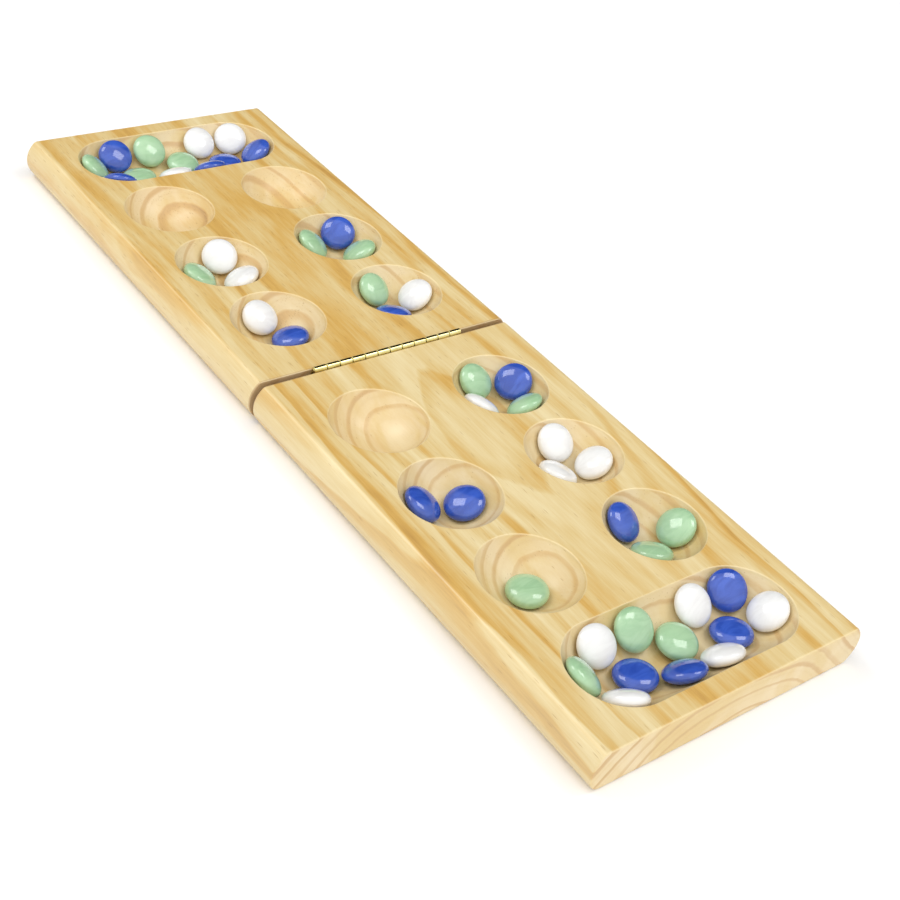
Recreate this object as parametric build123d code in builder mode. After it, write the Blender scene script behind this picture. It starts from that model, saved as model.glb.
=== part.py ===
from build123d import *
import os
from math import asin, atan2, cos, degrees, hypot, sin, sqrt

# Folding mancala board, opened flat, with its glass stones in the pits. Millimetres.
# The origin is under the hinge, in the middle of the underside.
# +X runs along the board towards the near half, +Y across it, +Z up.

# ---------------------------------------------------------------- driving dimensions
board_length = 432.0
board_width = 133.4
board_thickness = 18.0
hinge_gap = 2.8  # between the end faces of the two halves

side_bulge = 4.5  # how far the long sides swell out at mid height
top_corner_radius = 3.0
bottom_corner_radius = 2.5
outer_end_edge_radius = 0.8
hinge_end_edge_radius = 0.5

pit_radius = 20.8
pit_depth = 13.6
pit_x = (39.0, 88.0, 137.0)  # from the hinge line
row_y = 31.2
store_x = 186.3
store_half_length = 51.5
rim_edge_radius = 0.5

knuckle_count = 12
hinge_length = 76.2
barrel_radius = 1.4
pin_radius = 0.75
pin_clearance = 0.05
pin_end_chamfer = 0.25
knuckle_gap = 0.4
knuckle_chamfer = 0.2
pin_height = 0.2  # of the pin's axis over the top of the board
leaf_thickness = 0.75
leaf_foot = 3.0  # height of the leaf's lower edge over the underside
notch_clearance = 0.3

screw_y = (-28.575, -9.525, 9.525, 28.575)
screw_z = 9.0
screw_head_radius = 2.0
screw_head_depth = 1.1
screw_shank_radius = 1.05
screw_length = 10.0
screw_point_length = 2.5
screw_cross = (2.4, 0.45, 0.5)  # length, width and depth of each arm of the cross in the head
screw_clearance = 0.05

stone_diameter = 17.2
stone_thickness = 7.2
stone_edge_radius = 1.8
stone_clearance = 0.15  # between a stone and the wood under it

# Each pit's stones: colour, then the stone's place from the pit's centre, along X and along Y.
pit_stones = {
    ("near", "left", 2): [("blue", -5.5, -8.0), ("blue", 0.0, 8.0)],
    ("near", "left", 3): [("green", 0.0, 1.0)],
    ("near", "right", 1): [
        ("green", -11.5, -3.5),
        ("blue", -4.5, 11.5),
        ("white", 3.0, -11.0),
        ("green", 11.0, 5.5),
    ],
    ("near", "right", 2): [("white", -12.0, 1.5), ("white", 1.5, -7.5), ("white", 3.5, 9.5)],
    ("near", "right", 3): [("blue", -10.5, -5.0), ("green", 1.5, 12.0), ("green", 6.0, -4.0)],
    ("far", "left", 1): [("white", -11.0, -2.0), ("blue", 4.0, 4.5)],
    ("far", "left", 2): [("white", -11.0, 5.5), ("green", -2.5, -9.0), ("white", 5.5, 7.5)],
    ("far", "right", 1): [("green", -11.0, -4.0), ("white", -0.5, 11.5), ("blue", 5.5, -4.0)],
    ("far", "right", 2): [("blue", -10.0, 7.0), ("green", -6.5, -9.0), ("green", 6.5, 8.5)],
}
store_stones = {
    "near": [
        ("white", 3.5, 42.5),
        ("blue", -11.5, 36.0),
        ("blue", 2.5, 26.0),
        ("white", -12.0, 18.5),
        ("white", 11.5, 11.0),
        ("green", -3.5, 3.5),
        ("blue", 10.5, -7.0),
        ("green", -12.5, -11.0),
        ("blue", 2.0, -22.0),
        ("white", -12.5, -29.0),
        ("white", 11.5, -36.5),
        ("green", -3.5, -43.0),
    ],
    "far": [
        ("blue", 4.0, 42.0),
        ("white", -11.5, 36.0),
        ("blue", 2.5, 25.5),
        ("white", -12.5, 18.5),
        ("blue", 12.0, 11.0),
        ("green", -3.0, 4.5),
        ("white", 10.5, -7.0),
        ("green", -12.5, -9.5),
        ("green", 2.5, -22.5),
        ("blue", -12.5, -28.0),
        ("blue", 11.0, -37.0),
        ("green", -4.5, -42.5),
    ],
}

# ---------------------------------------------------------------- worked out from them
end_face_x = hinge_gap / 2
half_length = board_length / 2 - end_face_x
bowl_radius = (pit_radius**2 + pit_depth**2) / (2 * pit_depth)
bowl_centre_z = board_thickness + bowl_radius - pit_depth
store_straight = store_half_length - pit_radius  # half the length of the store's straight part
pin_z = board_thickness + pin_height
leaf_face_x = end_face_x - leaf_thickness
notch_z = pin_z - sqrt((barrel_radius + notch_clearance) ** 2 - leaf_face_x**2)
knuckle_pitch = hinge_length / knuckle_count
# a stone's section: two domes that run tangent into a round edge
edge_centre = stone_diameter / 2 - stone_edge_radius
dome_drop = stone_thickness / 2 - stone_edge_radius
dome_centre = (edge_centre**2 - dome_drop**2) / (2 * dome_drop)
dome_radius = dome_centre + stone_thickness / 2
edge_angle = degrees(atan2(dome_centre, edge_centre))
ends = {"near": 1, "far": -1}
rows = {"left": -1, "right": 1}


def save(builder, name):
    """Label a finished piece and write its STEP file."""
    builder.part.label = name
    export_step(builder.part, f"parts/{name}.step")


def stone_plane(pit, straight, along_x, along_y):
    """Plane through a stone that lies against the bowl: its Y axis is the stone's own axis.

    A bowl is part of a sphere, and a store is that sphere swept along Y by its straight part, so a
    stone's axis always points at the nearest centre of that sphere.
    """
    spine_y = max(-straight, min(straight, along_y))
    reach = hypot(along_x, along_y - spine_y)
    swing = bowl_radius - stone_thickness / 2 - stone_clearance
    tilt = asin(reach / swing)
    bearing = atan2(along_y - spine_y, along_x)
    up = Vector(-sin(tilt) * cos(bearing), -sin(tilt) * sin(bearing), cos(tilt))
    outward = Vector(cos(tilt) * cos(bearing), cos(tilt) * sin(bearing), sin(tilt))
    sphere_centre = Vector(pit[0], pit[1] + spine_y, bowl_centre_z)
    return Plane(origin=sphere_centre - up * swing, x_dir=outward, z_dir=outward.cross(up))


os.makedirs("parts", exist_ok=True)

# ---------------------------------------------------------------- near half of the board
with BuildPart() as near_half:
    with BuildSketch(Plane.YZ.offset(end_face_x)) as outline:
        flat = board_width / 2 - side_bulge
        with BuildLine():
            Line((-flat, 0), (flat, 0))
            ThreePointArc((flat, 0), (board_width / 2, board_thickness / 2), (flat, board_thickness))
            Line((flat, board_thickness), (-flat, board_thickness))
            ThreePointArc((-flat, board_thickness), (-board_width / 2, board_thickness / 2), (-flat, 0))
        make_face()
        fillet(outline.vertices().group_by(Axis.Y)[-1], top_corner_radius)
        fillet(outline.vertices().group_by(Axis.Y)[0], bottom_corner_radius)
    extrude(amount=half_length)
    fillet(near_half.faces().sort_by(Axis.X)[-1].edges(), outer_end_edge_radius)
    fillet(near_half.faces().sort_by(Axis.X)[0].edges(), hinge_end_edge_radius)
    # six pits, each a cap of one sphere
    with Locations([(x, side * row_y, bowl_centre_z) for x in pit_x for side in rows.values()]):
        Sphere(bowl_radius, mode=Mode.SUBTRACT)
    # the store, the same sphere swept across the board
    with Locations((store_x, 0, bowl_centre_z)):
        Cylinder(bowl_radius, 2 * store_straight, rotation=(90, 0, 0), mode=Mode.SUBTRACT)
    with Locations((store_x, -store_straight, bowl_centre_z), (store_x, store_straight, bowl_centre_z)):
        Sphere(bowl_radius, mode=Mode.SUBTRACT)
    rims = near_half.faces().filter_by(Axis.Z).sort_by(Axis.Z)[-1].inner_wires().edges()
    fillet(rims, rim_edge_radius)
    # countersunk holes for the hinge screws, in the end grain
    wood_hole_radius = screw_shank_radius + screw_clearance
    wood_sink_radius = wood_hole_radius + screw_head_depth - leaf_thickness
    for y in screw_y:
        with Locations(Plane((end_face_x, y, screw_z), x_dir=(0, 1, 0), z_dir=(-1, 0, 0))):
            CounterSinkHole(wood_hole_radius, wood_sink_radius, depth=screw_length)
save(near_half, "near_half")

# ---------------------------------------------------------------- far half, its mirror image
with BuildPart() as far_half:
    mirror(near_half.part, about=Plane.YZ)
save(far_half, "far_half")

# ---------------------------------------------------------------- hinge leaf on the near half
with BuildPart() as barrel:
    knuckle_length = knuckle_pitch - knuckle_gap
    Cylinder(barrel_radius, knuckle_length, rotation=(90, 0, 0))
    chamfer(barrel.edges().filter_by(GeomType.CIRCLE), knuckle_chamfer)

with BuildPart() as hinge_leaf_near:
    knuckle_y = [(n + 0.5) * knuckle_pitch - hinge_length / 2 for n in range(0, knuckle_count, 2)]
    with BuildSketch(Plane.YZ.offset(leaf_face_x)):
        with Locations((0, (leaf_foot + notch_z) / 2)):
            Rectangle(hinge_length, notch_z - leaf_foot)
        with Locations([(y, (leaf_foot + pin_z) / 2) for y in knuckle_y]):
            Rectangle(knuckle_length, pin_z - leaf_foot)
    extrude(amount=leaf_thickness)
    with Locations([(0, y, pin_z) for y in knuckle_y]):
        add(barrel.part)
    with Locations((0, 0, pin_z)):
        Cylinder(pin_radius + pin_clearance, 2 * hinge_length, rotation=(90, 0, 0), mode=Mode.SUBTRACT)
    for y in screw_y:
        with Locations(Plane((leaf_face_x, y, screw_z), x_dir=(0, 1, 0), z_dir=(-1, 0, 0))):
            CounterSinkHole(screw_shank_radius + screw_clearance, screw_head_radius + screw_clearance)
save(hinge_leaf_near, "hinge_leaf_near")

# ---------------------------------------------------------------- hinge leaf on the far half
# The same leaf turned half a turn about Z, so that its knuckles fall between the other leaf's.
with BuildPart() as hinge_leaf_far:
    add(hinge_leaf_near.part, rotation=(0, 0, 180))
save(hinge_leaf_far, "hinge_leaf_far")

# ---------------------------------------------------------------- hinge pin
with BuildPart() as hinge_pin:
    with Locations((0, 0, pin_z)):
        Cylinder(pin_radius, hinge_length, rotation=(90, 0, 0))
    chamfer(hinge_pin.edges().filter_by(GeomType.CIRCLE), pin_end_chamfer)
save(hinge_pin, "hinge_pin")

# ---------------------------------------------------------------- hinge screws
with BuildPart() as hinge_screws_near:
    cross_length, cross_width, cross_depth = screw_cross
    for y in screw_y:
        with BuildSketch(Plane((leaf_face_x, y, screw_z), x_dir=(1, 0, 0), z_dir=(0, -1, 0))):
            with BuildLine():
                Polyline(
                    (0, 0),
                    (0, screw_head_radius),
                    (screw_head_depth, screw_shank_radius),
                    (screw_length - screw_point_length, screw_shank_radius),
                    (screw_length, 0),
                    close=True,
                )
            make_face()
        revolve(axis=Axis((leaf_face_x, y, screw_z), (1, 0, 0)))
    with Locations([(leaf_face_x + cross_depth / 2, y, screw_z) for y in screw_y]):
        Box(cross_depth, cross_length, cross_width, mode=Mode.SUBTRACT)
        Box(cross_depth, cross_width, cross_length, mode=Mode.SUBTRACT)
save(hinge_screws_near, "hinge_screws_near")

with BuildPart() as hinge_screws_far:
    add(hinge_screws_near.part, rotation=(0, 0, 180))
save(hinge_screws_far, "hinge_screws_far")

# ---------------------------------------------------------------- glass stones
stones = []
for (end, row, number), lying in pit_stones.items():
    pit = (ends[end] * pit_x[number - 1], rows[row] * row_y)
    for colour, along_x, along_y in lying:
        stones.append((colour, end, stone_plane(pit, 0, along_x, along_y)))
for end, lying in store_stones.items():
    for colour, along_x, along_y in lying:
        store = (ends[end] * store_x, 0)
        stones.append((colour, end, stone_plane(store, store_straight, along_x, along_y)))

stone_names = []
for colour, end, plane in stones:
    number = 1 + sum(name.startswith(f"stone_{colour}") for name in stone_names)
    name = f"stone_{colour}_{number:02d}"
    with BuildPart() as stone:
        with BuildSketch(plane):
            with BuildLine():
                CenterArc((0, dome_centre), dome_radius, -90, 90 - edge_angle)
                CenterArc((edge_centre, 0), stone_edge_radius, -edge_angle, 2 * edge_angle)
                CenterArc((0, -dome_centre), dome_radius, edge_angle, 90 - edge_angle)
                Line((0, stone_thickness / 2), (0, -stone_thickness / 2))
            make_face()
        revolve(axis=Axis(plane.origin, plane.y_dir))
    save(stone, name)
    stone_names.append(name)
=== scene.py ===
import math
import random

import bmesh
import bpy
import numpy as np
from mathutils import Matrix, Vector, noise


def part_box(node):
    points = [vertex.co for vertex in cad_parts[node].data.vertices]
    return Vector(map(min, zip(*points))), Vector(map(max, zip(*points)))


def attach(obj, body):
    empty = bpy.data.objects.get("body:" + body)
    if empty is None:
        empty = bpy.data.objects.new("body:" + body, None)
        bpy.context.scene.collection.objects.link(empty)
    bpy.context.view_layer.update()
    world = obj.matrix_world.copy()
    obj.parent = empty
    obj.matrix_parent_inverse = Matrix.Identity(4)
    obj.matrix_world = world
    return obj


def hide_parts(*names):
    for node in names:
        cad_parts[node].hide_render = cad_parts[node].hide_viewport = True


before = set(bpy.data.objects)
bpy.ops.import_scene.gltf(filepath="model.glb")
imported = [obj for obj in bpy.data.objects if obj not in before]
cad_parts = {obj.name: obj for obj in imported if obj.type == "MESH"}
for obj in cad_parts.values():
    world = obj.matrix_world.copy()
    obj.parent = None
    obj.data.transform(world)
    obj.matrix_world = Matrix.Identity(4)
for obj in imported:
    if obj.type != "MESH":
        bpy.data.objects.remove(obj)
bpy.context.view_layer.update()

# ---------------------------------------------------------------- measures, from the frame
BOARD_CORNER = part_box("near_half")[1]
BOARD_TOP = BOARD_CORNER.z
HALF_WIDTH = BOARD_CORNER.y
HALF_LENGTH = BOARD_CORNER.x

# ---------------------------------------------------------------- camera
CAMERA_TARGET = Vector((0.0667, -0.0162, BOARD_TOP))
CAMERA_DISTANCE = 0.5886
CAMERA_AZIMUTH = math.radians(-43.7)
CAMERA_ELEVATION = math.radians(37.23)
CAMERA_ROLL = math.radians(12.13)
CAMERA_LENS = 59.78
CAMERA_NEAR_CLIP = 0.01

# ---------------------------------------------------------------- studio, as directions from the board
STUDIO_FRONT = (0.66, -0.64, 0.40)
WALLS_EDGE = (-0.7, 0.7)  # cosines of the angle from the front between which the walls brighten
WALLS_STRENGTHS = (0.42, 1.28)  # behind and in front
STUDIO_SCREEN = (-0.55, 0.60, 0.58)
SCREEN_EDGE = (0.76, 0.86)  # cosines of the angle from the screen's middle at its soft edge
SCREEN_SHARES = (1.0, 0.04)  # of the walls' light, beside the screen and on it
SOFTBOXES = {"softbox_left": (-0.45, -0.35, 0.82), "softbox_right": (0.27, 0.42, 0.86)}
SOFTBOX_DISTANCE = 1.1
SOFTBOX_SIZE = (0.38, 0.50)
SOFTBOX_WATTS = 2.3
FLOOR_REACH = 4.0
FLOOR_LEVEL = -0.0003  # a little under the board, so that no two faces share a plane

# ---------------------------------------------------------------- colours, 8-bit sRGB
FLOOR_WHITES = ((249, 249, 249), (251, 251, 251))
PINE_PALE = (231, 213, 166)
PINE_MIDDLE = (219, 193, 135)
PINE_GOLD = (210, 169, 92)
PINE_DARK = (192, 149, 80)
PINE_LINE = (158, 114, 58)
PINE_CUT = (228, 208, 170)
PINE_END = (202, 167, 118)
PINE_SHADE = (196, 158, 108)
PINE_SIDE = (206, 190, 150)
# painted shade: the dark brown of the shadowed hinge gap, put on the saw cuts there
PINE_GAP_SHADE = (154, 113, 68)
BRASS = (230, 221, 160)
BRASS_DULL = (204, 188, 116)
GLASS = {
    "green": ((158, 196, 154), (172, 207, 166)),
    "blue": ((44, 76, 170), (60, 94, 192)),
    "white": ((230, 229, 227), (238, 238, 236)),
}

# ---------------------------------------------------------------- values of the pine
# Each half: where the log's pith is (y, z), the rings' spacing, the tone's depth, the share of resin canals.
PINE = {
    "near_half": ("pine_near", dict(seed=3.1, pith=(0.006, -0.048), spacing=0.0072, depth=0.20, fleck=0.08)),
    "far_half": ("pine_far", dict(seed=8.7, pith=(-0.004, -0.040), spacing=0.0085, depth=0.31, fleck=0.28)),
}
PITH_WANDER = (0.0, 0.022, 0.026)
RING_SWAY = 0.012
RING_RIPPLE = 0.0009
RING_UNEVEN = 0.9  # how far a ring's width strays, in rings
FINE_LINES = 3  # to a ring
LATEWOOD = (
    (0.0, 0.10), (0.07, 0.0), (0.32, 0.08), (0.60, 0.36),
    (0.82, 0.82), (0.90, 1.0), (0.96, 0.6), (1.0, 0.10),
)
TONES = ((0.0, PINE_PALE), (0.36, PINE_MIDDLE), (0.66, PINE_GOLD), (0.88, PINE_DARK), (1.0, PINE_LINE))
TONE_OF_LATEWOOD = 0.52
TONE_OF_FINE_LINES = 0.04
TONE_OF_NOISE = {"blotch": 0.85, "patch": 0.55, "streak": 0.50, "fibre": 0.45}
CANAL_CELLS = (150.0, 1700.0, 1700.0)
PINE_RELIEF = 0.00007

# ---------------------------------------------------------------- values of the stones
STONE_SEED = 48
STONE_DETAIL = 4  # subdivisions of the sphere that each stone starts from
STONE_DENT = 0.012


def linear(colour):
    """An 8-bit sRGB colour as the linear RGBA that shader sockets take."""
    parts = [c / 255 for c in colour]
    return (*[p / 12.92 if p <= 0.04045 else ((p + 0.055) / 1.055) ** 2.4 for p in parts], 1.0)


class Shader:
    """One node material on the Principled shader, with short ways to add and link nodes."""

    def __init__(self, name, **shader_values):
        self.material = bpy.data.materials.new(name)
        self.material.use_nodes = True
        self.nodes = self.material.node_tree.nodes
        self.links = self.material.node_tree.links
        self.shader = self.nodes["Principled BSDF"]
        for socket, value in shader_values.items():
            self.shader.inputs[socket.replace("_", " ")].default_value = value
        self.place = self.add("ShaderNodeTexCoord").outputs["Object"]
        self.facing = self.add("ShaderNodeTexCoord").outputs["Normal"]

    def add(self, kind, sockets=None, **settings):
        node = self.nodes.new(kind)
        for name, value in settings.items():
            setattr(node, name, value)
        for socket, value in (sockets or {}).items():
            self.put(node.inputs[socket], value)
        return node

    def put(self, socket, value):
        if isinstance(value, bpy.types.NodeSocket):
            self.links.new(value, socket)
        else:
            socket.default_value = value

    def math(self, operation, *values):
        return self.add("ShaderNodeMath", dict(enumerate(values)), operation=operation).outputs[0]

    def vector(self, operation, *values):
        node = self.add("ShaderNodeVectorMath", dict(enumerate(values)), operation=operation)
        return node.outputs["Value" if operation == "LENGTH" else "Vector"]

    def split(self, vector):
        return self.add("ShaderNodeSeparateXYZ", {0: vector}).outputs

    def noise(self, place, stretch, detail=2.0, roughness=0.5, distortion=0.0, output="Fac"):
        """Noise with about stretch[i] bumps per metre along axis i."""
        sockets = {
            "Vector": self.vector("MULTIPLY", place, stretch),
            "Scale": 1.0,
            "Detail": detail,
            "Roughness": roughness,
            "Distortion": distortion,
        }
        return self.add("ShaderNodeTexNoise", sockets).outputs[output]

    def cells(self, place, stretch):
        """Voronoi cells, about stretch[i] per metre along axis i."""
        sockets = {"Vector": self.vector("MULTIPLY", place, stretch), "Scale": 1.0}
        return self.add("ShaderNodeTexVoronoi", sockets).outputs

    def swing(self, value, amount):
        """How far value is from a half, times amount."""
        return self.math("MULTIPLY", self.math("SUBTRACT", value, 0.5), amount)

    def smooth(self, value, start, end):
        """0 before start, 1 after end, with a smooth step between."""
        sockets = {"Value": value, "From Min": start, "From Max": end}
        return self.add("ShaderNodeMapRange", sockets, interpolation_type="SMOOTHSTEP").outputs["Result"]

    def ramp(self, value, stops):
        """A ramp through stops of (position, brightness or 8-bit colour)."""
        node = self.add("ShaderNodeValToRGB", {"Fac": value})
        points = node.color_ramp.elements
        while len(points) < len(stops):
            points.new(0.5)
        for point, (position, colour) in zip(points, stops):
            point.position = position
            point.color = linear(colour) if isinstance(colour, tuple) else (colour, colour, colour, 1)
        return node.outputs["Color"]

    def mix(self, factor, first, second):
        node = self.add("ShaderNodeMix", {"Factor": factor}, data_type="RGBA")
        for socket, value in ((node.inputs[6], first), (node.inputs[7], second)):
            self.put(socket, linear(value) if isinstance(value, tuple) else value)
        return node.outputs[2]

    def tint(self, colour, mask, share, toward):
        """colour, mixed toward another by share where mask is 1."""
        return self.mix(self.math("MULTIPLY", mask, share), colour, toward)

    def bump(self, height, distance, strength):
        sockets = {"Height": height, "Distance": distance, "Strength": strength}
        return self.add("ShaderNodeBump", sockets).outputs["Normal"]

    def finish(self, **sockets):
        for socket, value in sockets.items():
            self.put(self.shader.inputs[socket.replace("_", " ")], value)
        return self.material


# ---------------------------------------------------------------- pine
def ring_turns(s, place, pith, spacing, seed):
    """How many rings lie between a point and the pith, which runs along X under the board."""
    wander = s.noise(place, (5.0, 0.6, 0.6), detail=1.5, output="Color")
    wander = s.vector("MULTIPLY", s.vector("SUBTRACT", wander, (0.5, 0.5, 0.5)), PITH_WANDER)
    across = s.vector("SUBTRACT", s.vector("ADD", s.place, wander), (0.0, *pith))
    radius = s.vector("LENGTH", s.vector("MULTIPLY", across, (0.0, 1.0, 1.0)))
    sway = s.swing(s.noise(place, (10.0, 22.0, 22.0), detail=1.0), RING_SWAY)
    ripple = s.swing(s.noise(place, (60.0, 200.0, 200.0), detail=1.0), RING_RIPPLE)
    turns = s.math("DIVIDE", s.math("ADD", radius, s.math("ADD", sway, ripple)), spacing)
    sockets = {"W": s.math("ADD", turns, seed), "Scale": 0.7}
    uneven = s.add("ShaderNodeTexNoise", sockets, noise_dimensions="1D").outputs["Fac"]
    return s.math("ADD", turns, s.swing(uneven, RING_UNEVEN))


def growth_rings(s, turns, seed):
    """The rings' dark latewood, 0 to 1 and weaker in some rings, and finer lines, -1 to 1."""
    late = s.ramp(s.math("FRACT", turns), LATEWOOD)
    number = s.math("ADD", s.math("FLOOR", turns), seed)
    share = s.add("ShaderNodeTexWhiteNoise", {"W": number}, noise_dimensions="1D").outputs["Value"]
    late = s.math("MULTIPLY", late, s.math("MULTIPLY_ADD", share, 0.5, 0.5))
    fine = s.math("SINE", s.math("MULTIPLY", turns, FINE_LINES * math.tau))
    return late, fine


def pine_noises(s, place):
    """The uneven tone of the wood, from broad blotches to single fibres, all drawn out along the grain."""
    return {
        "blotch": s.noise(place, (11.0, 34.0, 34.0), detail=3.0, distortion=0.8),
        "patch": s.noise(place, (22.0, 90.0, 90.0), detail=2.0, roughness=0.6, distortion=0.6),
        "streak": s.noise(place, (12.0, 300.0, 300.0), detail=3.0, roughness=0.6),
        "fibre": s.noise(place, (75.0, 1500.0, 1500.0), detail=3.0, roughness=0.65),
    }


def bowl_mask(s, x, y, z):
    """1 where the surface is inside a pit or store, 0 on the rest of the board."""
    below_top = s.smooth(z, BOARD_TOP - 0.0004, BOARD_TOP - 0.0016)
    above_bottom = s.smooth(z, 0.0025, 0.0035)
    inside_sides = s.smooth(s.math("ABSOLUTE", y), HALF_WIDTH - 0.008, HALF_WIDTH - 0.010)
    inside_ends = s.smooth(s.math("ABSOLUTE", x), HALF_LENGTH - 0.003, HALF_LENGTH - 0.005)
    off_hinge = s.smooth(s.math("ABSOLUTE", x), 0.006, 0.008)
    mask = below_top
    for other in (above_bottom, inside_sides, inside_ends, off_hinge):
        mask = s.math("MULTIPLY", mask, other)
    return mask


def face_masks(s):
    """Masks, 1 on the bowls, the end faces, the long sides, the facing saw cuts, which get painted shade,
    and the top's edges, which get a painted highlight.
    """
    x, y, z = s.split(s.place)
    face_x, face_y, face_z = s.split(s.facing)
    bowl = bowl_mask(s, x, y, z)
    side = s.smooth(s.math("ABSOLUTE", face_y), 0.55, 0.95)
    near_top = s.smooth(z, BOARD_TOP - 0.0006, BOARD_TOP - 0.0003)
    return {
        "bowl": bowl,
        "end": s.smooth(s.math("ABSOLUTE", face_x), 0.30, 0.95),
        "side": s.math("MULTIPLY", side, s.math("SUBTRACT", 1.0, bowl)),
        # painted shade on the saw cuts that face each other across the hinge gap
        "gap_shade": s.smooth(s.math("ABSOLUTE", x), 0.0024, 0.0016),
        # painted highlight: a thin band along the top's edges and the pits' rims
        "edge": s.math("MULTIPLY", s.smooth(face_z, 0.98, 0.85), near_top),
    }


def tint_faces(s, colour, masks, noises, late, fine):
    """The colours of the wood where it is cut another way than along the top, with painted shade on the saw
    cuts facing each other across the hinge gap.
    """
    line = s.smooth(s.math("MULTIPLY_ADD", fine, 0.14, late), 0.15, 0.90)
    end_ground = s.mix(s.smooth(noises["blotch"], 0.35, 0.65), PINE_CUT, PINE_MIDDLE)
    bowl_ground = s.mix(s.smooth(noises["patch"], 0.40, 0.68), PINE_CUT, PINE_MIDDLE)
    colour = s.tint(colour, masks["bowl"], 0.50, s.tint(bowl_ground, line, 0.6, PINE_SHADE))
    colour = s.tint(colour, masks["end"], 0.8, s.mix(line, end_ground, PINE_END))
    colour = s.tint(colour, masks["side"], 0.32, PINE_SIDE)
    # painted shade: the facing saw cuts darkened toward the gap's shadowed brown
    return s.tint(colour, masks["gap_shade"], 0.55, PINE_GAP_SHADE)


def resin_canals(s, place, share):
    """Short dark dashes along the grain, in the given share of the cells they could fill."""
    cells = s.cells(place, CANAL_CELLS)
    chance = s.add("ShaderNodeSeparateColor", {0: cells["Color"]}).outputs[0]
    chosen = s.math("GREATER_THAN", chance, 1 - share)
    return s.math("MULTIPLY", s.smooth(cells["Distance"], 0.34, 0.10), chosen)


def pine(name, seed, pith, spacing, depth, fleck):
    """Flat-sawn pine under a thin satin varnish."""
    s = Shader(name, Coat_Weight=0.35, Coat_Roughness=0.25, Specular_IOR_Level=0.4)
    place = s.vector("ADD", s.place, (seed, seed * 0.37, seed * 0.11))
    late, fine = growth_rings(s, ring_turns(s, place, pith, spacing, seed), seed)
    noises = pine_noises(s, place)
    masks = face_masks(s)
    canals = resin_canals(s, place, fleck)

    tone = s.math("MULTIPLY_ADD", late, TONE_OF_LATEWOOD, depth)
    tone = s.math("MULTIPLY_ADD", fine, TONE_OF_FINE_LINES, tone)
    for part, amount in TONE_OF_NOISE.items():
        tone = s.math("ADD", tone, s.swing(noises[part], amount))
    colour = tint_faces(s, s.ramp(tone, TONES), masks, noises, late, fine)
    colour = s.tint(colour, canals, 0.45, PINE_LINE)
    # painted highlight: the top's edges and the pits' rims lightened toward PINE_PALE
    colour = s.tint(colour, masks["edge"], 0.45, PINE_PALE)

    rough = s.math("ADD", 0.42, s.swing(noises["fibre"], 0.22))
    rough = s.math("ADD", rough, s.math("MULTIPLY", masks["end"], 0.12))
    height = s.math("ADD", s.math("MULTIPLY", noises["fibre"], 0.55), s.math("MULTIPLY", late, 0.45))
    height = s.math("SUBTRACT", height, s.math("MULTIPLY", canals, 0.6))
    return s.finish(Base_Color=colour, Roughness=rough, Normal=s.bump(height, PINE_RELIEF, 0.6))


# ---------------------------------------------------------------- brass
def brass():
    """Polished brass strip with fine drawing lines along the hinge and light tarnish."""
    s = Shader("hinge_brass", Metallic=1.0)
    line = s.noise(s.place, (5200.0, 120.0, 5200.0), detail=2.0)
    tarnish = s.noise(s.place, (160.0, 90.0, 160.0), detail=3.0, roughness=0.6)
    colour = s.mix(s.smooth(tarnish, 0.42, 0.75), BRASS, BRASS_DULL)
    rough = s.math("ADD", 0.13, s.swing(tarnish, 0.16))
    rough = s.math("ADD", rough, s.swing(line, 0.05))
    return s.finish(Base_Color=colour, Roughness=rough, Normal=s.bump(line, 0.00001, 0.12))


# ---------------------------------------------------------------- glass stones
def glass(colour_name):
    """Opaque streaked glass: two mixed tones, a hard gloss and a faintly wavy fire-polished skin."""
    dark, pale = GLASS[colour_name]
    s = Shader(
        f"glass_{colour_name}",
        Coat_Weight=0.6,
        Coat_Roughness=0.04,
        Subsurface_Weight=0.12,
        Subsurface_Radius=(0.004, 0.004, 0.004),
        Subsurface_Scale=0.5,
    )
    own = s.add("ShaderNodeObjectInfo").outputs["Random"]
    place = s.vector("ADD", s.place, s.add("ShaderNodeCombineXYZ", {i: own for i in range(3)}).outputs[0])
    swirl = s.noise(place, (190.0, 60.0, 120.0), detail=3.0, distortion=1.6)
    cloud = s.noise(place, (110.0, 110.0, 110.0), detail=1.0)
    mixed = s.math("ADD", s.math("MULTIPLY", swirl, 0.8), s.math("MULTIPLY", cloud, 0.2))
    colour = s.mix(s.smooth(mixed, 0.36, 0.64), dark, pale)
    pits = s.smooth(s.cells(place, (900.0, 900.0, 900.0))["Distance"], 0.16, 0.04)
    wave = s.noise(place, (160.0, 160.0, 160.0), detail=1.0)
    rough = s.math("ADD", 0.10, s.math("MULTIPLY", pits, 0.18))
    height = s.math("SUBTRACT", wave, s.math("MULTIPLY", pits, 0.05))
    return s.finish(Base_Color=colour, Roughness=rough, Normal=s.bump(height, 0.0004, 0.35))


def stone_frame(name):
    """Centre, axis, radius and half thickness of a stone, from its CAD solid."""
    low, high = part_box(name)
    centre = (low + high) / 2
    points = np.array([v.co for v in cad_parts[name].data.vertices]) - np.array(centre)
    axis = np.linalg.svd(points, full_matrices=False)[2][2]
    axis = axis if axis[2] > 0 else -axis
    radius = np.linalg.norm(points, axis=1).max()
    return centre, Vector(axis), float(radius), float(np.abs(points @ axis).max())


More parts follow.
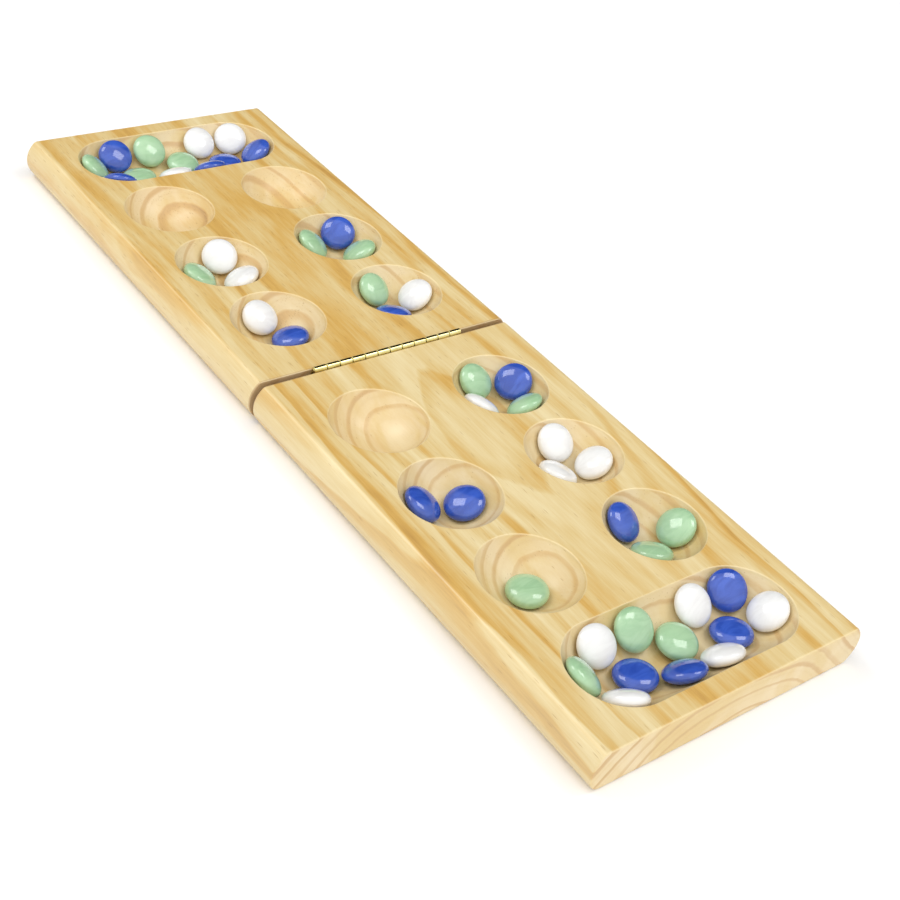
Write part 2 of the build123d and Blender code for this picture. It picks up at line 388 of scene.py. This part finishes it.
def stone_shape(radius, half_thickness, rng):
    """A pressed drop, a little out of round and fuller above than below, and its height below the middle."""
    size = rng.uniform(0.972, 1.0)
    oval = rng.uniform(0.0, 0.035)
    lobe = rng.uniform(0.0, 0.018)
    lobe_turn = rng.uniform(0.0, math.tau)
    top = half_thickness * rng.uniform(0.97, 1.02)
    bottom = half_thickness * rng.uniform(0.90, 0.96)
    fullness = 2 / rng.uniform(2.05, 2.25)
    turn = rng.uniform(0.0, math.tau)
    drift = Vector((rng.uniform(-9, 9), rng.uniform(-9, 9), rng.uniform(-9, 9)))

    bm = bmesh.new()
    bmesh.ops.create_icosphere(bm, subdivisions=STONE_DETAIL, radius=1.0)
    for vertex in bm.verts:
        x, y, z = vertex.co
        angle = math.atan2(y, x)
        lobes = lobe * (0.5 + 0.5 * math.cos(3 * angle + lobe_turn))
        reach = radius * size * (1 - oval * math.sin(angle) ** 2 - lobes)
        reach *= 1 - STONE_DENT * (0.5 + 0.5 * noise.noise(vertex.co * 1.4 + drift))
        spread = reach * math.hypot(x, y) ** fullness
        height = (top if z > 0 else bottom) * abs(z) ** fullness
        vertex.co = (math.cos(angle) * spread, math.sin(angle) * spread, math.copysign(height, z))
    bm.transform(Matrix.Rotation(turn, 4, "Z"))
    return bm, bottom


def make_stone(name, material, rng):
    """A stone that lies where its CAD solid does."""
    centre, axis, radius, half_thickness = stone_frame(name)
    bm, bottom = stone_shape(radius, half_thickness, rng)
    tilt = Vector((0, 0, 1)).rotation_difference(axis).to_matrix().to_4x4()
    bm.transform(Matrix.Translation(centre - axis * (half_thickness - bottom)) @ tilt)
    mesh = bpy.data.meshes.new(name + "_glass")
    bm.to_mesh(mesh)
    bm.free()
    mesh.shade_smooth()
    mesh.materials.append(material)
    stone = bpy.data.objects.new(name + "_glass", mesh)
    bpy.context.scene.collection.objects.link(stone)
    return stone


def make_stones():
    rng = random.Random(STONE_SEED)
    glasses = {colour: glass(colour) for colour in GLASS}
    for name in sorted(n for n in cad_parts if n.startswith("stone_")):
        colour = name.split("_")[1]
        stone = make_stone(name, glasses[colour], rng)
        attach(stone, name)
        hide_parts(name)


# ---------------------------------------------------------------- board and hinge
def paint_board():
    finishes = {node: pine(name, **values) for node, (name, values) in PINE.items()}
    metal = brass()
    finishes.update({node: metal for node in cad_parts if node.startswith("hinge_")})
    for node, material in finishes.items():
        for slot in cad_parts[node].material_slots:
            slot.material = material


# ---------------------------------------------------------------- floor, lights, camera
def make_floor():
    mesh = bpy.data.meshes.new("floor")
    signs = ((-1, -1), (1, -1), (1, 1), (-1, 1))
    corners = [(x * FLOOR_REACH, y * FLOOR_REACH, FLOOR_LEVEL) for x, y in signs]
    mesh.from_pydata(corners, [], [(0, 1, 2, 3)])
    floor = bpy.data.objects.new("floor", mesh)
    bpy.context.scene.collection.objects.link(floor)
    s = Shader("floor_white", Roughness=0.7, Specular_IOR_Level=0.0)
    grain = s.noise(s.place, (3.0, 3.0, 3.0), detail=1.0)
    mesh.materials.append(s.finish(Base_Color=s.mix(grain, *FLOOR_WHITES)))


def make_softbox(name, toward):
    """A rectangular light that looks at the middle of the board from the direction toward."""
    light = bpy.data.lights.new(name, "AREA")
    light.shape = "RECTANGLE"
    light.size, light.size_y = SOFTBOX_SIZE
    light.energy = SOFTBOX_WATTS
    lamp = bpy.data.objects.new(name, light)
    bpy.context.scene.collection.objects.link(lamp)
    direction = Vector(toward).normalized()
    lamp.location = direction * SOFTBOX_DISTANCE
    lamp.rotation_euler = direction.to_track_quat("Z", "Y").to_euler()


def world_lobe(tree, direction, toward, edge, strengths):
    """The first of the strengths in directions away from toward, the second round it, with a smooth edge."""
    dot = tree.nodes.new("ShaderNodeVectorMath")
    dot.operation = "DOT_PRODUCT"
    tree.links.new(direction, dot.inputs[0])
    dot.inputs[1].default_value = Vector(toward).normalized()
    step = tree.nodes.new("ShaderNodeMapRange")
    step.interpolation_type = "SMOOTHSTEP"
    tree.links.new(dot.outputs["Value"], step.inputs["Value"])
    for socket, value in zip(("From Min", "From Max", "To Min", "To Max"), (*edge, *strengths)):
        step.inputs[socket].default_value = value
    return step.outputs["Result"]


def make_studio():
    """The studio round the table: bright white in front, dimmer behind, with one black screen behind."""
    world = bpy.data.worlds.new("studio")
    world.use_nodes = True
    tree = world.node_tree
    background = tree.nodes["Background"]
    direction = tree.nodes.new("ShaderNodeTexCoord").outputs["Generated"]
    walls = world_lobe(tree, direction, STUDIO_FRONT, WALLS_EDGE, WALLS_STRENGTHS)
    screen = world_lobe(tree, direction, STUDIO_SCREEN, SCREEN_EDGE, SCREEN_SHARES)
    strength = tree.nodes.new("ShaderNodeMath")
    strength.operation = "MULTIPLY"
    tree.links.new(walls, strength.inputs[0])
    tree.links.new(screen, strength.inputs[1])
    tree.links.new(strength.outputs[0], background.inputs["Strength"])
    background.inputs["Color"].default_value = (1.0, 1.0, 1.0, 1.0)
    bpy.context.scene.world = world


def make_lights():
    for name, toward in SOFTBOXES.items():
        make_softbox(name, toward)
    make_studio()


def make_camera():
    data = bpy.data.cameras.new("camera")
    data.lens = CAMERA_LENS
    data.clip_start = CAMERA_NEAR_CLIP
    camera = bpy.data.objects.new("camera", data)
    bpy.context.scene.collection.objects.link(camera)
    back = Vector((
        math.cos(CAMERA_ELEVATION) * math.cos(CAMERA_AZIMUTH),
        math.cos(CAMERA_ELEVATION) * math.sin(CAMERA_AZIMUTH),
        math.sin(CAMERA_ELEVATION),
    ))
    level = Vector((0, 0, 1)).cross(back).normalized()
    upright = back.cross(level)
    right = level * math.cos(CAMERA_ROLL) + upright * math.sin(CAMERA_ROLL)
    up = back.cross(right)
    turn = Matrix((right, up, back)).transposed().to_4x4()
    camera.matrix_world = Matrix.Translation(CAMERA_TARGET + back * CAMERA_DISTANCE) @ turn
    bpy.context.scene.camera = camera


bpy.context.scene.view_settings.view_transform = "Standard"
make_camera()
make_floor()
make_lights()
paint_board()
make_stones()

bpy.context.view_layer.update()
